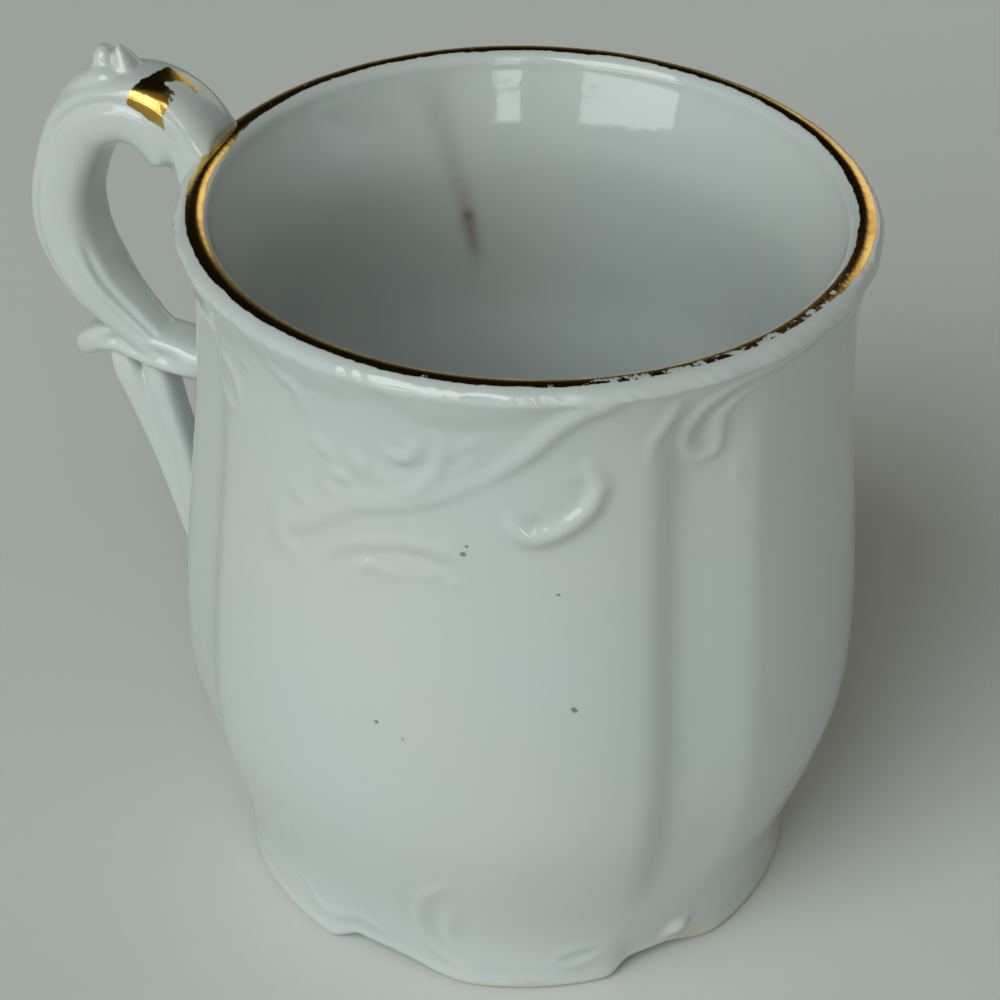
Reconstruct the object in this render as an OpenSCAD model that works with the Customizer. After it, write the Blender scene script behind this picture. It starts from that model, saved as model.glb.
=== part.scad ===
// Small moulded porcelain cup in a rococo taste: fluted body, six-lobed foot,
// raised scrolls under the lip and on the foot, an ear-shaped handle, gilt lip.
// Millimetres. The origin is on the cup's axis at the table, the handle points to -X.

/* [Cup body] */
// Height of the cup from the table to the top of the lip
cup_h = 63.5; // [58:0.5:72]
// Outer radius of the flared lip
lip_r = 27.9; // [27:0.1:30]
// Thickness of the lip from outside to inside
lip_t = 2.6; // [2:0.1:3.4]
// Height of the rounding on top of the lip
lip_round = 1.1; // [0.7:0.1:1.6]
// Outer radius of the neck under the lip
neck_r = 26.75; // [25.5:0.25:28]
// Depth of the neck below the top of the lip
neck_drop = 8.5; // [7:0.5:12]
// Outer radius of the belly
belly_r = 28.9; // [27.5:0.1:31]
// Height of the belly above the table
belly_z = 23.5; // [20:0.5:28]
// How long the belly stays full before it turns in to the waist
belly_fullness = 2.1; // [1.7:0.1:2.4]
// How softly the wall leaves the waist: 1 is a crease, more is rounder
waist_ease = 1.25; // [1.1:0.05:1.5]
// Outer radius of the waist above the foot
waist_r = 24.1; // [23.2:0.1:25]
// Height of the waist above the table
waist_z = 5; // [4:0.25:7]
// Thickness of the side wall
wall = 2.4; // [1.8:0.1:3.2]
// Extra thickness inside the neck, from which the mouth flares
mouth_extra = 1.4; // [0.6:0.1:1.8]
// Depth of the narrowest place of the mouth below the top of the lip
mouth_drop = 10.5; // [9:0.5:13]
// Height over which the extra thickness fades out
mouth_span = 6; // [4:0.5:8]
// Thickness of the floor
floor_t = 3.2; // [2.4:0.1:4.5]
// Radius of the round between the inner wall and the floor
floor_round = 12; // [8:0.5:15]
// Rise of the underside at its middle
base_dome = 0.6; // [0.2:0.1:1.2]

/* [Flutes] */
// Angle of each flute from the line through the handle, in degrees
flute_turn = 40; // [32:1:48]
// Width of a flute, in degrees
flute_w = 20; // [16:1:26]
// Depth of a flute
flute_depth = 0.9; // [0.5:0.05:1.3]
// Length over which a flute fades out at its lower end
flute_fade = 7; // [5:0.5:10]

/* [Foot] */
// Number of lobes round the foot
lobes = 6; // [4:1:8]
// Angle of the first notch between two lobes, in degrees
notch_turn = 15; // [0:1:59]
// Outer radius of a lobe at the table
foot_r = 24.4; // [24:0.1:26.5]
// How far a notch is drawn in from the lobes
notch_in = 1.2; // [0.6:0.1:1.8]
// Lift of the foot's edge above the table at a notch
notch_lift = 1.1; // [0.6:0.1:1.6]
// Shares of a lobe over which its end falls to the notch, the notch stays flat, and the next lobe has risen
notch_steep = 0.07; // [0.05:0.01:0.15]
notch_flat = 0.12; // [0.05:0.01:0.2]
notch_soft = 0.5; // [0.35:0.01:0.6]
// Rounding of the foot's lower edge
foot_round = 0.7; // [0.4:0.1:1]
// Thickness of the foot where it meets the body
foot_wall = 3.2; // [2.6:0.1:4.2]

/* [Handle] */
// Reach of the handle's middle line beyond the lip
handle_reach = 14; // [12:0.1:17]
// Rise of the handle's middle line above the lip
handle_rise = 2; // [1:0.1:4]
// Height of the lower joint on the body
knuckle_z = 43.2; // [40:0.1:45]
// Depth of the upper joint's middle below the top of the lip
root_drop = 4.9; // [4.4:0.1:6]
// Height of the upper joint
root_h = 7; // [5.5:0.1:7]
// Thickness of the loop at its side
strap_t = 5.4; // [4.6:0.1:5.8]
// Width of the loop
strap_w = 7.2; // [6.2:0.1:8]
// Height of the tip of the tail on the body
tail_z = 15; // [12:0.5:20]
// Squareness of the handle's section: 1 is an ellipse, less is squarer
section_round = 0.8; // [0.65:0.05:1]
// Thickness of the tail at its top
tail_t = 4; // [3:0.1:4.6]
// Width of the tail at its top
tail_w = 3.6; // [3:0.1:4.6]
// How far down the tail stays off the body: more brings it in sooner
tail_sweep = 1.7; // [1.5:0.05:2.4]
// Height of the leaf under the knuckle
leaf_h = 2; // [1.4:0.1:2.6]
// Height of the thumb rest
thumb_h = 2.2; // [1.4:0.1:3]

/* [Ornament] */
// Height of the raised ornament under the lip
panel_h = 20; // [17:0.5:22]
// Width of the raised ornament over one lobe of the foot
foot_panel_w = 20; // [17:0.5:22]
// Width of a raised scroll on the body
scroll_w = 1.3; // [0.9:0.1:1.8]
// Height of a raised scroll on the body
scroll_h = 0.55; // [0.3:0.05:0.9]
// Width of a shell petal
petal_w = 1.8; // [1.2:0.1:2.4]
// Height of a shell petal
petal_h = 0.5; // [0.3:0.05:0.8]
// Width of a scroll on the foot
foot_scroll_w = 1.1; // [0.8:0.1:1.5]
// Height of a scroll on the foot
foot_scroll_h = 0.5; // [0.3:0.05:0.8]

/* [Gilding] */
// Thickness of the gilding
gilding_t = 0.15; // [0.1:0.01:0.3]
// Thickness of the slip that joins a piece to the one under it
slip = 0.04; // [0.02:0.01:0.1]

/* [Hidden] */

porcelain = [0.82, 0.85, 0.84];
gold = [0.75, 0.52, 0.16];

// Heights that follow from the driving sizes
neck_z = cup_h - neck_drop;
lip_z = cup_h - lip_round;
mouth_z = cup_h - mouth_drop;
floor_z = waist_z + floor_t;
root_z = cup_h - root_drop;
crown_z = cup_h + handle_rise;
foot_in_r = waist_r - foot_wall;

// Counts of points round the cup, up its wall and along a sweep
around = 90;
wall_steps = 13;
mouth_steps = 4;
cavity_steps = 8;
loop_sides = 16;
loop_steps = 60;
tail_sides = 12;
tail_steps = 18;
relief_sides = 3;
path_step = 0.7;
lip_angles = [0, 40, 75, 110, 145, 180];
gilt_from = 2;
loop_side = 360 / loop_sides;
joint_skip = 3;

flutes = [flute_turn, 180 - flute_turn, 180 + flute_turn, -flute_turn];
front = -90;
half_turn = 180;

// General curves

// Smooth step from 0 to 1
function ease(t) = (1 - cos(180 * min(1, max(0, t)))) / 2;

// An angle brought between -180 and 180
function wrap(a) = a - 360 * round(a / 360);

// A point from its angle, radius and height
function polar(a, r, z) = [r * cos(a), r * sin(a), z];

// Smooth curve through the points of a list, at t from 0 to 1
function through(p, t) =
    let (last = len(p) - 1,
        i = min(last - 1, floor(t * last)),
        u = t * last - i,
        a = p[max(0, i - 1)],
        b = p[i],
        c = p[i + 1],
        d = p[min(last, i + 2)])
    (2 * b + (c - a) * u + (2 * a - 5 * b + 4 * c - d) * u * u + (3 * b - a - 3 * c + d) * u * u * u) / 2;

// Point on the flat faces between the points of a grid, given as a function of its row and column
function on_faces(grid, row, col) =
    let (i = floor(row),
        j = floor(col),
        u = row - i,
        v = col - j)
    (1 - u) * ((1 - v) * grid(i, j) + v * grid(i, j + 1))
        + u * ((1 - v) * grid(i + 1, j) + v * grid(i + 1, j + 1));

// A curve on the unrolled wall that turns steadily: a stage is [length, turn per length at its start and end]
function stage_path(start, heading, stage, steps) =
    let (step = stage[0] / steps)
    [for (i = 0, p = start; i <= steps;
        p = p + step * (let (s = (i + 0.5) * step,
            h = heading + stage[1] * s + (stage[2] - stage[1]) * s * s / (2 * stage[0]))
            [cos(h), sin(h)]),
        i = i + 1) p];

function stage_turn(stage) = stage[0] * (stage[1] + stage[2]) / 2;

// Its stages one after another, with all lengths as shares of a size
function scroll_path(size, start, heading, stages, k = 0) =
    let (stage = stages[k],
        path = stage_path(start, heading, stage, max(4, ceil(stage[0] * size / path_step))),
        last = len(path) - 1)
    concat([for (i = [0:k == len(stages) - 1 ? last : last - 1]) path[i] * size],
        k == len(stages) - 1 ? []
            : scroll_path(size, path[last], heading + stage_turn(stage), stages, k + 1));

// Closed skins

// Faces of a tube of rings with n points each, closed by a middle point at each end
function tube_faces(rings, n) =
    let (first = rings * n, last = first + 1)
    concat(
        [for (j = [0:n - 1]) [first, j, (j + 1) % n]],
        [for (i = [0:rings - 2], j = [0:n - 1], half = [0, 1])
            let (a = i * n + j, b = i * n + (j + 1) % n)
            half == 0 ? [a, a + n, b] : [b, a + n, b + n]],
        [for (j = [0:n - 1]) [last, (rings - 1) * n + (j + 1) % n, (rings - 1) * n + j]]);

// A solid swept through rings of points, with its two end points
module tube(rings, first, last) {
    polyhedron(concat([for (ring = rings) each ring], [first, last]), tube_faces(len(rings), len(rings[0])));
}

// Faces of a tube whose rings are a row of points and the same row back at another height, closed by strips
function band_faces(rings, n) =
    let (far = (rings - 1) * n)
    concat(
        [for (i = [0:rings - 2], j = [0:n - 1], half = [0, 1])
            let (a = i * n + j, b = i * n + (j + 1) % n)
            half == 0 ? [a, a + n, b] : [b, a + n, b + n]],
        [for (j = [0:n / 2 - 2], half = [0, 1])
            half == 0 ? [j, j + 1, n - 1 - j] : [j + 1, n - 2 - j, n - 1 - j]],
        [for (j = [0:n / 2 - 2], half = [0, 1])
            let (a = far + j, b = far + n - 1 - j)
            half == 0 ? [a + 1, a, b] : [b - 1, a + 1, b]]);

// A solid ring made of the same outline at many angles
module closed_ring(outlines) {
    m = len(outlines);
    n = len(outlines[0]);
    polyhedron([for (o = outlines) each o],
        [for (i = [0:m - 1], j = [0:n - 1], half = [0, 1])
            let (here = i * n,
                next = ((i + 1) % m) * n,
                k = (j + 1) % n,
                a = here + j,
                b = here + k,
                c = next + j,
                d = next + k)
            half == 0 ? [a, b, c] : [b, d, c]]);
}

function middle(ring) = [for (k = [0:2]) [for (p = ring) p[k]] * [for (p = ring) 1] / len(ring)];

// Body

// Outer radius of the plain wall at a height
function wall_r(z) =
    z >= neck_z ? neck_r + (lip_r - neck_r) * pow((z - neck_z) / (lip_z - neck_z), 2)
    : z >= belly_z ? belly_r + (neck_r - belly_r) * ease((z - belly_z) / (neck_z - belly_z))
    : waist_r + (belly_r - waist_r)
        * (1 - pow(1 - pow((max(z, waist_z) - waist_z) / (belly_z - waist_z), waist_ease), belly_fullness));

// Share of the full flute depth at an angle, and at a height
function flute_share(a) =
    max([for (f = flutes) let (u = abs(wrap(a - f)) * 2 / flute_w) u < 1 ? (1 + cos(180 * u)) / 2 : 0]);
function flute_run(z) = ease((z - waist_z) / flute_fade) * ease((lip_z - z) / neck_drop);

// Outer radius of the fluted wall
function body_r(a, z) = wall_r(z) - flute_depth * flute_share(a) * flute_run(z);

// Inner radius of the cup at a height
function cavity_r(z) =
    let (low = max(0, floor_z + floor_round - z) / floor_round)
    wall_r(z) - wall - mouth_extra * exp(-pow((z - mouth_z) / mouth_span, 2))
        - floor_round * (1 - sqrt(max(0, 1 - low * low)));

// Point on the rounded lip, from 0 at its outside to 180 at its inside
function lip_point(b, out = 0) =
    [lip_r - lip_t / 2 + (lip_t / 2 + out) * cos(b), lip_z + (lip_round + out) * sin(b)];

angles = [for (i = [0:around - 1]) i * 360 / around];
wall_heights = [for (i = [0:wall_steps - 1])
    let (t = i / wall_steps) waist_z + (lip_z - waist_z) * (0.7 * t + 0.3 * ease(t))];
skin_heights = concat(wall_heights, [lip_z]);
cavity_heights = concat(
    [for (i = [1:mouth_steps]) lip_z + (mouth_z - lip_z) * i / mouth_steps],
    [for (i = [1:cavity_steps]) mouth_z + (floor_z - mouth_z) * sin(90 * i / cavity_steps)]);

// Point on the flat faces of the outside, and its distance from the axis
function on_body(a, z) =
    let (step = 360 / around,
        rows = [for (i = [0:len(skin_heights) - 1]) [skin_heights[i], i]])
    on_faces(function(i, j) polar(j * step, body_r(j * step, skin_heights[i]), skin_heights[i]),
        lookup(z, rows), a / step);
function face_r(a, z) = let (p = on_body(a, z)) norm([p[0], p[1]]);

module cup_body() {
    under = [for (a = angles) polar(a, foot_in_r, waist_z)];
    outside = [for (z = wall_heights) [for (a = angles) polar(a, body_r(a, z), z)]];
    lip = [for (b = lip_angles) [for (a = angles) polar(a, lip_point(b)[0], lip_point(b)[1])]];
    inside = [for (z = cavity_heights) [for (a = angles) polar(a, cavity_r(z), z)]];
    color(porcelain)
        tube(concat([under], outside, lip, inside), [0, 0, waist_z + base_dome], [0, 0, floor_z]);
}

// Foot

// Place across a lobe: 0 just after a notch, 1 just before the next
function across_lobe(a) = let (t = (a - notch_turn) * lobes / 360) t - floor(t);

// Share of a notch's full draw and lift: steep before the notch, long and soft after it
function notch_share(a) =
    let (t = across_lobe(a), steep = 1 - notch_steep)
    t > steep ? ease((t - steep) / notch_steep) : 1 - ease((t - notch_flat) / (notch_soft - notch_flat));
function edge_lift(a) = notch_lift * notch_share(a);
function edge_r(a) = foot_r - notch_in * notch_share(a);

// Outer radius of the foot at a height, flaring from the waist to its edge
function foot_skin(a, z) =
    let (t = (waist_z - z) / (waist_z - foot_round))
    waist_r + (edge_r(a) - waist_r) * pow(min(1, max(0, t)), 1.4);

module foot() {
    outlines = [for (a = angles)
        let (low = edge_lift(a), edge = low + foot_round)
        [polar(a, foot_in_r, waist_z),
            polar(a, foot_in_r, low),
            polar(a, edge_r(a) - foot_round, low),
            for (t = [0, 1 / 3, 2 / 3])
                let (z = edge + (waist_z - edge) * t) polar(a, foot_skin(a, z), z),
            polar(a, waist_r, waist_z)]];
    color(porcelain)
        closed_ring(outlines);
}

// Gilt line on the lip, worked on the same points as the lip

module lip_gilding() {
    gilt = [for (k = [gilt_from:len(lip_angles) - 1]) lip_angles[k]];
    last = len(gilt) - 1;
    outlines = [for (a = angles)
        concat(
            [for (k = [last:-1:0]) let (p = lip_point(gilt[k])) polar(a, p[0], p[1])],
            [for (k = [0:last]) let (p = lip_point(gilt[k], gilding_t)) polar(a, p[0], p[1])])];
    color(gold)
        closed_ring(outlines);
}

// Handle loop: its middle line runs in the plane of the handle, from the lip over the crown to the knuckle

// A point of the middle line: reach and height as shares of the loop, then thickness and width
function loop_knot(reach, height, t, w) =
    [-lip_r - reach * handle_reach, knuckle_z + height * (crown_z - knuckle_z), t, w];

loop_knots = [
    [-body_r(half_turn, root_z), root_z, root_h, strap_w],
    loop_knot(0.19, 0.93, root_h, strap_w),
    loop_knot(0.46, 1, root_h - 0.8, strap_w),
    loop_knot(0.77, 0.89, strap_t + 0.2, strap_w),
    loop_knot(0.945, 0.65, strap_t, strap_w - 0.4),
    loop_knot(0.96, 0.43, strap_t, strap_w - 0.4),
    loop_knot(0.82, 0.23, strap_t, strap_w),
    loop_knot(0.6, 0.1, strap_t - 0.4, strap_w),
    loop_knot(0.3, 0.01, strap_t - 0.9, strap_w - 1),
    [-body_r(half_turn, knuckle_z), knuckle_z, strap_t - 1.4, strap_w - 2]];

// Outward direction of the loop in its plane
function loop_out(s) =
    let (d = 0.004,
        p = through(loop_knots, min(1, s + d)) - through(loop_knots, max(0, s - d)),
        l = norm([p[0], p[1]]))
    [-p[1], p[0]] / -l;

// Sine or cosine of a section angle, swelled towards a square section
function bulge(x) = sign(x) * pow(abs(x), section_round);

// Place on the wall or the lip where a handle piece at this width and height seats
function wall_x(y, z) =
    let (a = 180 - asin(y / neck_r),
        r = z < lip_z ? face_r(a, z) : lip_r)
    -sqrt(pow(r + slip, 2) - y * y);

// A point on the loop's skin: place along it, angle round its section (90 is outward), height over the skin
function loop_skin(s, b, up = 0) =
    let (c = through(loop_knots, s),
        out = loop_out(s),
        n = (c[2] / 2 + up) * bulge(sin(b)),
        y = (c[3] / 2 + up) * bulge(cos(b)),
        z = c[1] + out[1] * n)
    [min(c[0] + out[0] * n, wall_x(y, z)), y, z];

// The same on the flat faces of the loop
function on_loop(s, b, up) =
    on_faces(function(i, j) loop_skin(i / loop_steps, j * loop_side, up), s * loop_steps, b / loop_side);

// A joint seats on the wall: the same section stood upright against it, at a share of its size
function joint_ring(knot, top, share) =
    [for (j = [0:loop_sides - 1])
        let (b = -j * loop_side,
            y = share * knot[3] / 2 * bulge(cos(b)),
            z = knot[1] + share * top * knot[2] / 2 * bulge(sin(b)))
        [wall_x(y, z), y, z]];

module handle_loop() {
    root = loop_knots[0];
    knuckle = loop_knots[len(loop_knots) - 1];
    rings = concat(
        [for (share = [0.5, 1]) joint_ring(root, 1, share)],
        [for (i = [joint_skip:loop_steps - 2])
            [for (j = [0:loop_sides - 1]) loop_skin(i / loop_steps, -j * loop_side)]],
        [for (share = [1, 0.5]) joint_ring(knuckle, -1, share)]);
    color(porcelain)
        tube(rings, joint_ring(root, 1, 0)[0], joint_ring(knuckle, -1, 0)[0]);
}

// A piece raised on the loop between two of its rings and two of its sides, with a height for each step
module loop_relief(ring_from, ring_to, side_from, side_to, cuts, heights, round_share) {
    last = len(heights) - 1;
    sides = (side_to - side_from) * cuts;
    rings = [for (i = [0:last])
        let (s = (ring_from + (ring_to - ring_from) * i / last) / loop_steps,
            turns = [for (j = [0:sides]) (side_from + j / cuts) * loop_side],
            rises = [for (j = [0:sides]) heights[i] * (1 - round_share + round_share * sin(180 * j / sides))])
        concat(
            [for (j = [0:sides]) on_loop(s, turns[j], slip)],
            [for (j = [sides:-1:0]) on_loop(s, turns[j], slip + rises[j])])];
    polyhedron([for (ring = rings) each ring], band_faces(last + 1, 2 * (sides + 1)));
}

top_side = loop_sides / 4;
leaf_rings = [44, 58];
leaf_steps = leaf_rings[1] - leaf_rings[0];
leaf_spread = 3;
leaf_swell = 0.7;
function leaf_rise(t) = leaf_h * (1 - 0.75 * t) * min(1, 0.7 + 4 * t);

module knuckle_leaf() {
    color(porcelain)
        loop_relief(leaf_rings[0], leaf_rings[1], top_side - leaf_spread, top_side + leaf_spread, 1,
            [for (i = [0:leaf_steps]) leaf_rise(i / leaf_steps)], leaf_swell);
}

// Thumb rest: two humps, the second a little lower
thumb_rings = [13, 16];
thumb_cuts = 3;
thumb_steps = (thumb_rings[1] - thumb_rings[0]) * thumb_cuts;
function thumb_rise(t) =
    let (first = sin(180 * min(1, t * 1.8)), second = sin(180 * max(0, t * 1.8 - 0.8)))
    thumb_h * (0.2 + 0.8 * max(first, 0.8 * second));

module thumb_rest() {
    color(porcelain)
        loop_relief(thumb_rings[0], thumb_rings[1], top_side - 1, top_side + 1, 2,
            [for (i = [0:thumb_steps]) thumb_rise(i / thumb_steps)], leaf_swell);
}

// Gilt patch on the near side of the crown
patch_rings = [7, 11];
patch_sides = [3, 9];

module handle_gilding() {
    color(gold)
        loop_relief(patch_rings[0], patch_rings[1], patch_sides[0], patch_sides[1], 1,
            [for (i = [patch_rings[0]:patch_rings[1]]) gilding_t], 0);
}

// Tail: from the leaf down to a tip that lies on the belly

// Its seat on the leaf: ring and side of the middle, and the reach along and across the leaf
seat_ring = 50;
seat_rings = 1.7;
seat_sides = 1;

// A point of the leaf's outer face, with slip over it
function leaf_top(ring, side) =
    loop_skin(ring / loop_steps, side * loop_side, 2 * slip + leaf_rise((ring - leaf_rings[0]) / leaf_steps)
        * (1 - leaf_swell + leaf_swell * cos(90 * (side - top_side) / leaf_spread)));

function tail_seat_ring(share) =
    [for (j = [0:tail_sides - 1])
        let (b = -360 * j / tail_sides)
        on_faces(function(ring, side) leaf_top(ring, side),
            seat_ring - share * seat_rings * sin(b), top_side - share * seat_sides * cos(b))];

tail_top = leaf_top(seat_ring, top_side);

function tail_thick(t) = tail_t * (1 - 0.68 * t);
function tail_wide(t) = tail_w * (1 - 0.6 * t);
function tail_height(t) = tail_top[2] + (tail_z - tail_top[2]) * t;
function tail_seat(t) = body_r(half_turn, tail_height(t)) + slip + tail_thick(t) / 2;
function tail_line(t) =
    [-tail_seat(t) - (-tail_top[0] - tail_seat(0)) * pow(1 - t, tail_sweep), tail_height(t)];

function tail_ring(t) =
    let (d = 0.01,
        c = tail_line(t),
        p = tail_line(min(1, t + d)) - tail_line(max(0, t - d)),
        dir = p / norm(p),
        out = [dir[1], -dir[0]])
    [for (j = [0:tail_sides - 1])
        let (b = -360 * j / tail_sides, n = tail_thick(t) / 2 * sin(b))
        [c[0] + out[0] * n, tail_wide(t) / 2 * cos(b), c[1] + out[1] * n]];

module handle_tail() {
    tip = tail_ring(1);
    rings = concat(
        [for (share = [0.5, 1]) tail_seat_ring(share)],
        [for (i = [2:tail_steps]) tail_ring(i / tail_steps)]);
    color(porcelain)
        tube(rings, tail_top, middle(tip));
}

// Relief: paths on the unrolled skin, in mm along it from a middle angle and up from a level

function skin_point(at, level, uv, up) =
    let (a = at + uv[0] / neck_r * 180 / PI, z = level + uv[1])
    (z < waist_z ? polar(a, foot_skin(a, z), z) : on_body(a, z)) + polar(a, slip + up, 0);

// Side direction of a path at one of its points
function path_side(path, i) =
    let (p = path[min(len(path) - 1, i + 1)] - path[max(0, i - 1)])
    [-p[1], p[0]] / norm(p);

// How a ridge swells from its ends: full in the middle, a fifth at the tips
function swell(t) = 0.2 + 0.8 * pow(sin(180 * (0.06 + 0.88 * t)), 0.6);

module ridge(path, w, h, at, level) {
    last = len(path) - 1;
    rings = [for (i = [0:last])
        let (side = path_side(path, i), k = swell(i / last))
        [for (j = [0:relief_sides])
            let (b = 180 * j / relief_sides)
            skin_point(at, level, path[i] + side * (w * k / 2 * cos(b)), h * k * sin(b))]];
    tube(rings, middle(rings[0]), middle(rings[last]));
}

// Panel scrolls: a long wave under the shell, a volute, a brow, a curl and a small leaf by the lip
panel_scrolls = [
    [[0.795, -0.095], 222, [[1.2, -16, -16], [0.475, 20, 500]]],
    [[0.705, -0.38], 300, [[0.6, -340, -400]]],
    [[-0.28, -0.9], 45, [[0.55, -110, -60]]],
    [[0.06, -0.51], 15, [[0.475, 440, 640]]],
    [[-0.65, -0.16], -8, [[0.325, -280, 80]]]];

module panel_scroll_group(at) {
    for (s = panel_scrolls)
        ridge(scroll_path(panel_h, s[0], s[1], s[2]), scroll_w, scroll_h, at, cup_h);
}

module front_scrolls() {
    color(porcelain)
        panel_scroll_group(front);
}

module back_scrolls() {
    color(porcelain)
        panel_scroll_group(front + half_turn);
}

// Shell: petals that spread from one root above the wave, and three small ones under the brow
shell_petals = [
    [[-0.135, -0.53], 100, 0.14],
    [[-0.23, -0.56], 122, 0.19],
    [[-0.32, -0.6], 144, 0.21],
    [[-0.39, -0.68], 168, 0.18],
    [[-0.11, -0.89], 200, 0.15],
    [[-0.02, -0.92], 250, 0.13],
    [[0.07, -0.895], 335, 0.15]];
petal_bend = 80;

module shell_group(at) {
    for (p = shell_petals)
        ridge(scroll_path(panel_h, p[0], p[1], [[p[2], petal_bend, petal_bend]]),
            petal_w, petal_h, at, cup_h);
}

module front_shell() {
    color(porcelain)
        shell_group(front);
}

module back_shell() {
    color(porcelain)
        shell_group(front + half_turn);
}

// A hook at the top of two flutes and a pointed leaf at the top of the other two
module flute_hooks() {
    hook = scroll_path(panel_h, [0.5, -0.1], 194, [[0.4, 20, 20], [0.2, 160, 480], [0.325, 480, 460]]);
    color(porcelain)
        for (turn = [0, half_turn])
            ridge(hook, scroll_w, scroll_h, turn - flute_turn, cup_h);
}

module flute_leaves() {
    color(porcelain)
        for (turn = [0, half_turn], lean = [-1, 1])
            ridge(scroll_path(panel_h, [-0.225, -0.28] - lean * [0.045, 0.03], -40 - lean * 32,
                [[0.45, lean * 130, lean * 130]]), scroll_w, scroll_h, turn + half_turn + flute_turn, cup_h);
}

// Foot ornament, the same on opposite lobes: a double hook and a teardrop, a leaf, and a bead by the notch
lobe_step = 360 / lobes;
lobe_middle = notch_turn + lobe_step * 4.5;

foot_paths = [
    [0, [-0.1, 0.68], 178, [[0.175, 160, 520], [0.65, 180, 120]]],
    [0, [-0.17, 0.48], 262, [[0.38, 60, 220]]],
    [0, [0.235, 0.13], 100, [[0.08, -800, -800], [0.3, -120, -80]]],
    [-1, [0.3, 0.65], 262, [[0.275, 0, 60], [0.18, 400, 800]]]];

module foot_scrolls() {
    color(porcelain)
        for (turn = [0, half_turn], p = foot_paths)
            ridge(scroll_path(foot_panel_w, p[1], p[2], p[3]), foot_scroll_w, foot_scroll_h,
                lobe_middle + turn + p[0] * lobe_step, 0);
}

module foot_beads() {
    bead = scroll_path(foot_panel_w, [-0.42, 0.11], 40, [[0.13, 0, 0]]);
    color(porcelain)
        for (turn = [0, half_turn])
            ridge(bead, foot_scroll_w * 1.4, foot_scroll_h * 1.5, lobe_middle + turn + lobe_step, 0);
}

cup_body();
foot();
lip_gilding();
handle_loop();
handle_tail();
knuckle_leaf();
thumb_rest();
handle_gilding();
front_scrolls();
front_shell();
back_scrolls();
back_shell();
flute_hooks();
flute_leaves();
foot_scrolls();
foot_beads();
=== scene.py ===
import math

import bpy
import numpy as np
from mathutils import Matrix, Vector


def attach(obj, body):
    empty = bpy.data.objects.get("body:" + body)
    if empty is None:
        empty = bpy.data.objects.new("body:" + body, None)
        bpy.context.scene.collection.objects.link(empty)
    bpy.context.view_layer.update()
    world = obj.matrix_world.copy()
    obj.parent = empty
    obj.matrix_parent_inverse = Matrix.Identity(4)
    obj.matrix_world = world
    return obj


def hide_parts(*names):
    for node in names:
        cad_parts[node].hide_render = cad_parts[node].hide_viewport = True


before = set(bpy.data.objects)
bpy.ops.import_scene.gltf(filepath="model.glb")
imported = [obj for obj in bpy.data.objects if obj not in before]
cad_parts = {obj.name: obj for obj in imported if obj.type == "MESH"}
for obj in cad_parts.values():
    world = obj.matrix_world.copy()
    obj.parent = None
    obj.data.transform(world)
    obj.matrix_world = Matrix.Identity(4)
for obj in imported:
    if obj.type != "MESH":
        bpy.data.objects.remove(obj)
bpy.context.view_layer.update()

# Sizes in millimetres, as in the part's source
MM = 0.001
CUP_H = 63.5
LIP_R = 27.9
LIP_T = 2.6
LIP_ROUND = 1.1
NECK_R = 26.75
NECK_DROP = 8.5
BELLY_R = 28.9
BELLY_Z = 23.5
BELLY_FULLNESS = 2.1
WAIST_EASE = 1.25
WAIST_R = 24.35
WAIST_Z = 5.0
FLOOR_T = 3.2
FLOOR_ROUND = 12.0
BASE_DOME = 0.6
FLUTE_TURN = 40.0
FLUTE_W = 20.0
FLUTE_DEPTH = 0.9
FLUTE_FADE = 7.0
LOBES = 6
NOTCH_TURN = 15.0
FOOT_R = 24.4
NOTCH_IN = 1.1
NOTCH_LIFT = 0.9
NOTCH_STEEP = 0.1
NOTCH_FLAT = 0.1
FOOT_ROUND = 0.7
FOOT_IN_R = 20.9
HANDLE_REACH = 14.0
KNUCKLE_Z = 43.2
ROOT_DROP = 4.9
ROOT_H = 7.0
STRAP_T = 5.4
STRAP_W = 7.2
SECTION_ROUND = 0.68

NECK_Z = CUP_H - NECK_DROP
LIP_Z = CUP_H - LIP_ROUND
FLOOR_Z = WAIST_Z + FLOOR_T
ROOT_Z = CUP_H - ROOT_DROP
CROWN_Z = CUP_H + 2.0

# Inner wall: its thickness, and the extra that narrows the neck so that the mouth opens like a funnel
WALL = 2.45
MOUTH_EXTRA = 1.4
MOUTH_Z = 53.0
MOUTH_SPAN = 6.0
THROAT_SPAN = 10.0


# Curves

def ease(t):
    """Smooth rise from 0 to 1 as t goes from 0 to 1."""
    return (1 - np.cos(np.pi * np.clip(t, 0, 1))) / 2


def hump(x, middle, span):
    """Bell of height 1 round a middle value."""
    return np.exp(-(((x - middle) / span) ** 2))


def wrap(angle):
    """The same angle between -180 and 180 degrees."""
    return angle - 360 * np.round(angle / 360)


def even_out(values, times):
    """Evens out values along their last axis, which closes on itself."""
    for _ in range(times):
        values = (np.roll(values, 1, -1) + 2 * values + np.roll(values, -1, -1)) / 4
    return values


def polar(angle, radius, height):
    """Place at an angle round the cup's axis."""
    turn = math.radians(angle)
    return (radius * math.cos(turn), radius * math.sin(turn), height)


def through(knots, t):
    """Smooth curve through knots, at each t from 0 to 1."""
    knots = np.asarray(knots, float)
    last = len(knots) - 1
    t = np.clip(np.atleast_1d(t), 0, 1) * last
    i = np.minimum(last - 1, np.floor(t).astype(int))
    u = (t - i)[:, None]
    a = knots[np.maximum(0, i - 1)]
    b = knots[i]
    c = knots[i + 1]
    d = knots[np.minimum(last, i + 2)]
    return (2 * b + (c - a) * u + (2 * a - 5 * b + 4 * c - d) * u**2 + (3 * b - a - 3 * c + d) * u**3) / 2


# Meshes

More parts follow.
